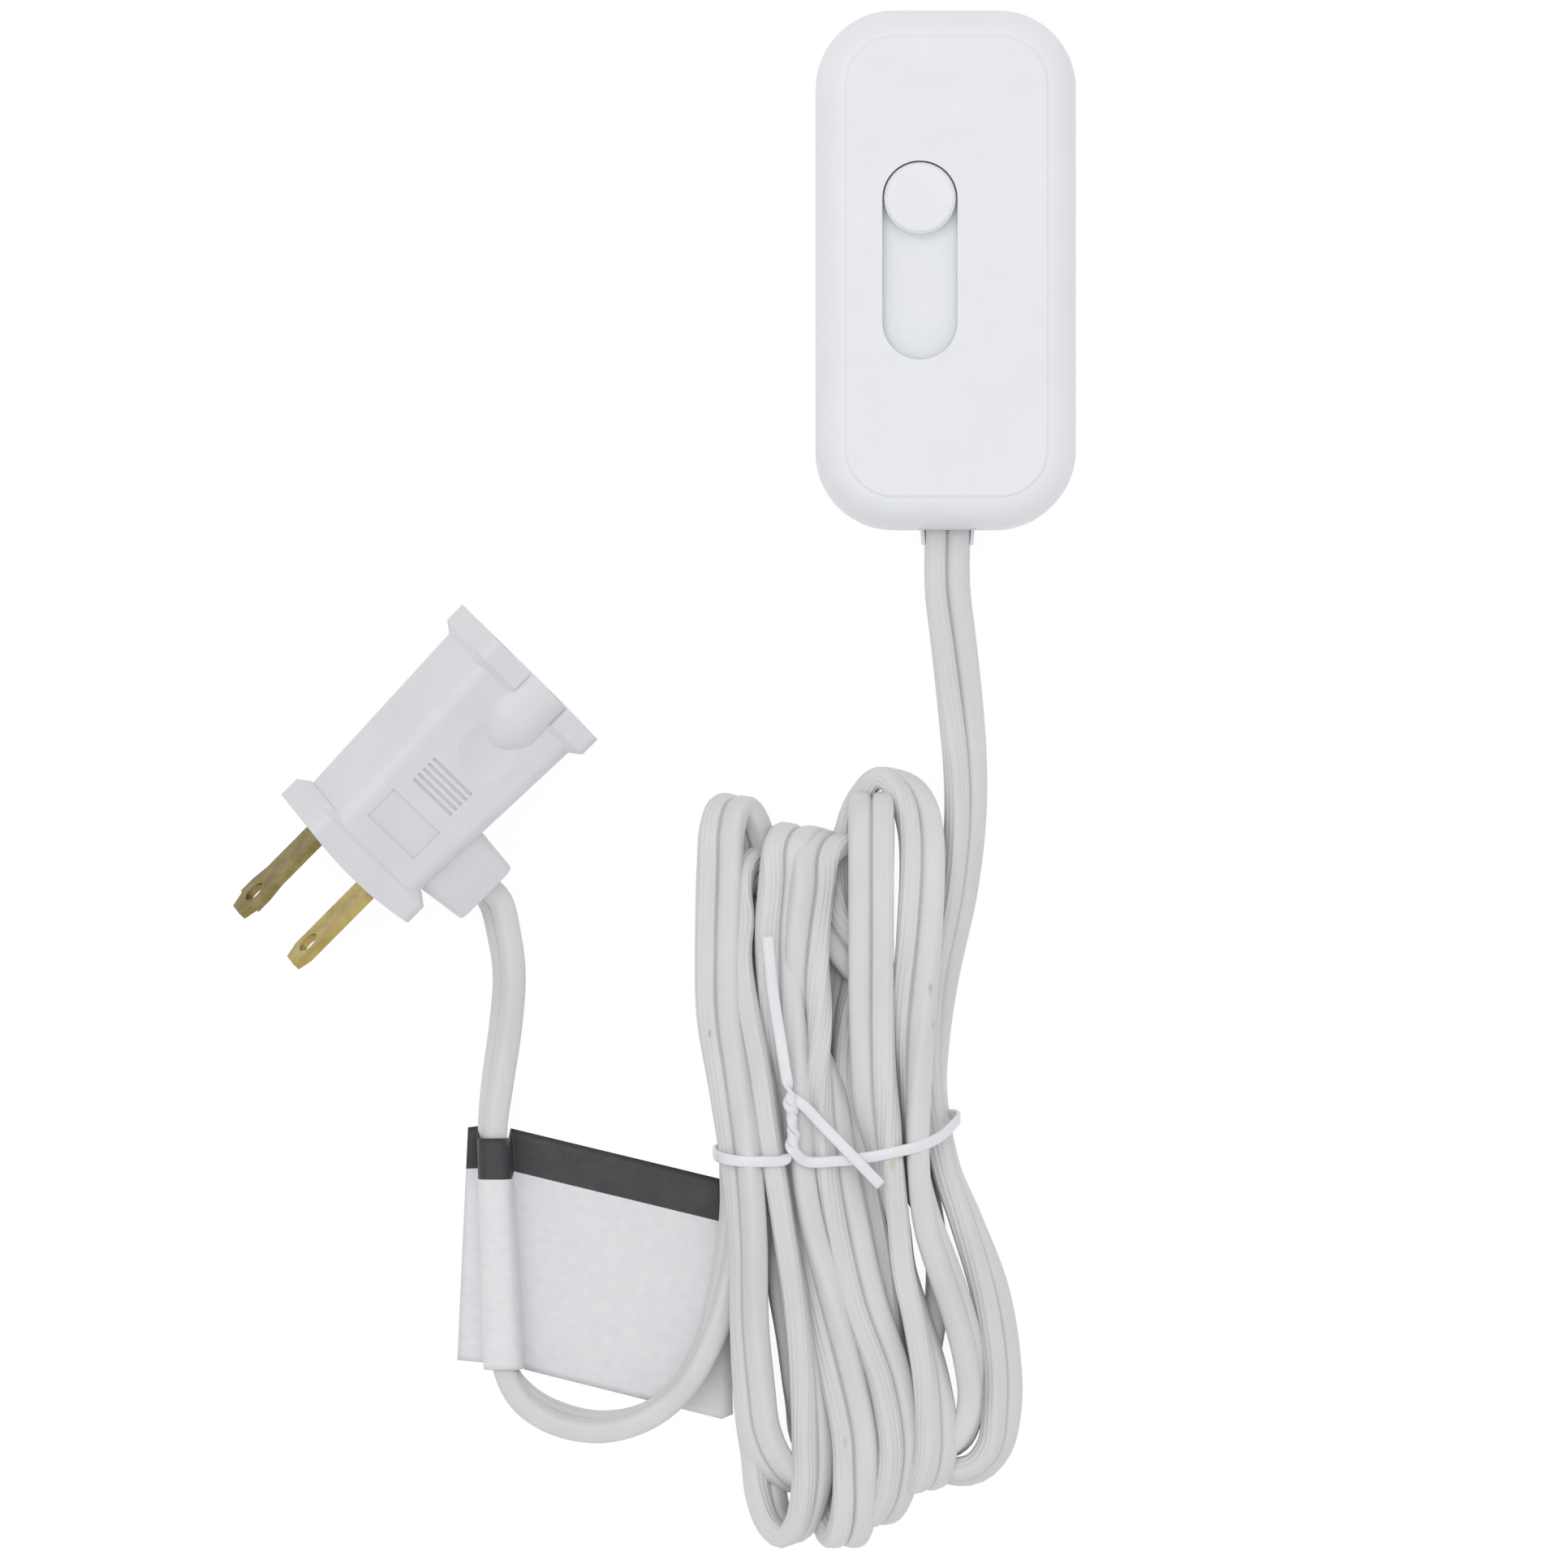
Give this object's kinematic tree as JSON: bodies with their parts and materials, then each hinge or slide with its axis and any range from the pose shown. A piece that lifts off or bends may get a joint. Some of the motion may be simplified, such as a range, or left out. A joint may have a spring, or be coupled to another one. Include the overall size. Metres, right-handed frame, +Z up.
{
  "type": "plug in lamp dimmer",
  "caption": "Corded table-top lamp dimmer: flat rounded control with a slide knob, flat cord in a tied hank with a flag tag, and a piggy-back plug with polarised blades.",
  "frame": {"origin": "centre of the control's underside, on the surface that it lies on", "axes": "+X to the right across the control, +Y along it away from its cord, +Z up out of its face"},
  "size_m": [0.1325, 0.2397, 0.0277],
  "materials": {
    "cover": "fine satin moulding",
    "base": "fine satin moulding",
    "knob": "smooth satin moulding",
    "shutter": "smooth satin moulding",
    "cord": "soft vinyl with fine ribs along one conductor",
    "tie": "coated wire",
    "tag": "blank white film with a dark band",
    "plug": "smooth moulding",
    "brass": "stamped, dull",
    "brass_inner": "stamped",
    "steel": "plated",
    "aluminium": "plain sheet",
    "board": "solder mask",
    "carbon": "printed carbon",
    "black_plastic": "moulded",
    "ferrite": "sintered",
    "copper": "enamelled wire",
    "capacitor": "dipped",
    "resistor": "coated",
    "glass_bead": "glass bead",
    "wire": "insulation"
  },
  "bodies": {
    "housing": {"top_cover": "cover", "base_cover": "base", "cover_screws": "steel", "circuit_board": "board", "pot_frame": "steel", "resistance_track": "carbon", "triac": "black_plastic", "heat_spreader": "aluminium", "choke_core": "ferrite", "choke_winding": "copper", "film_capacitor": "capacitor", "resistors": "resistor", "diac": "glass_bead", "inner_wires": "wire", "strain_relief": "cord", "cord_lead": "cord", "cord_hank": "cord", "cord_tail": "cord", "twist_tie": "tie", "cord_tag": "tag", "plug_body": "plug", "outlet_face": "plug", "wide_blade": "brass", "narrow_blade": "brass", "hot_contact": "brass_inner", "plug_wires": "wire"},
    "slider": {"slider_knob": "knob", "slider_shutter": "shutter", "slider_carriage": "black_plastic", "wiper_contact": "brass_inner"}
  },
  "joints": [
    {"name": "knob_slide", "type": "slide", "parent": "housing", "child": "slider", "axis": [0, -1, 0], "range_m": [0, 0.0194]}
  ]
}
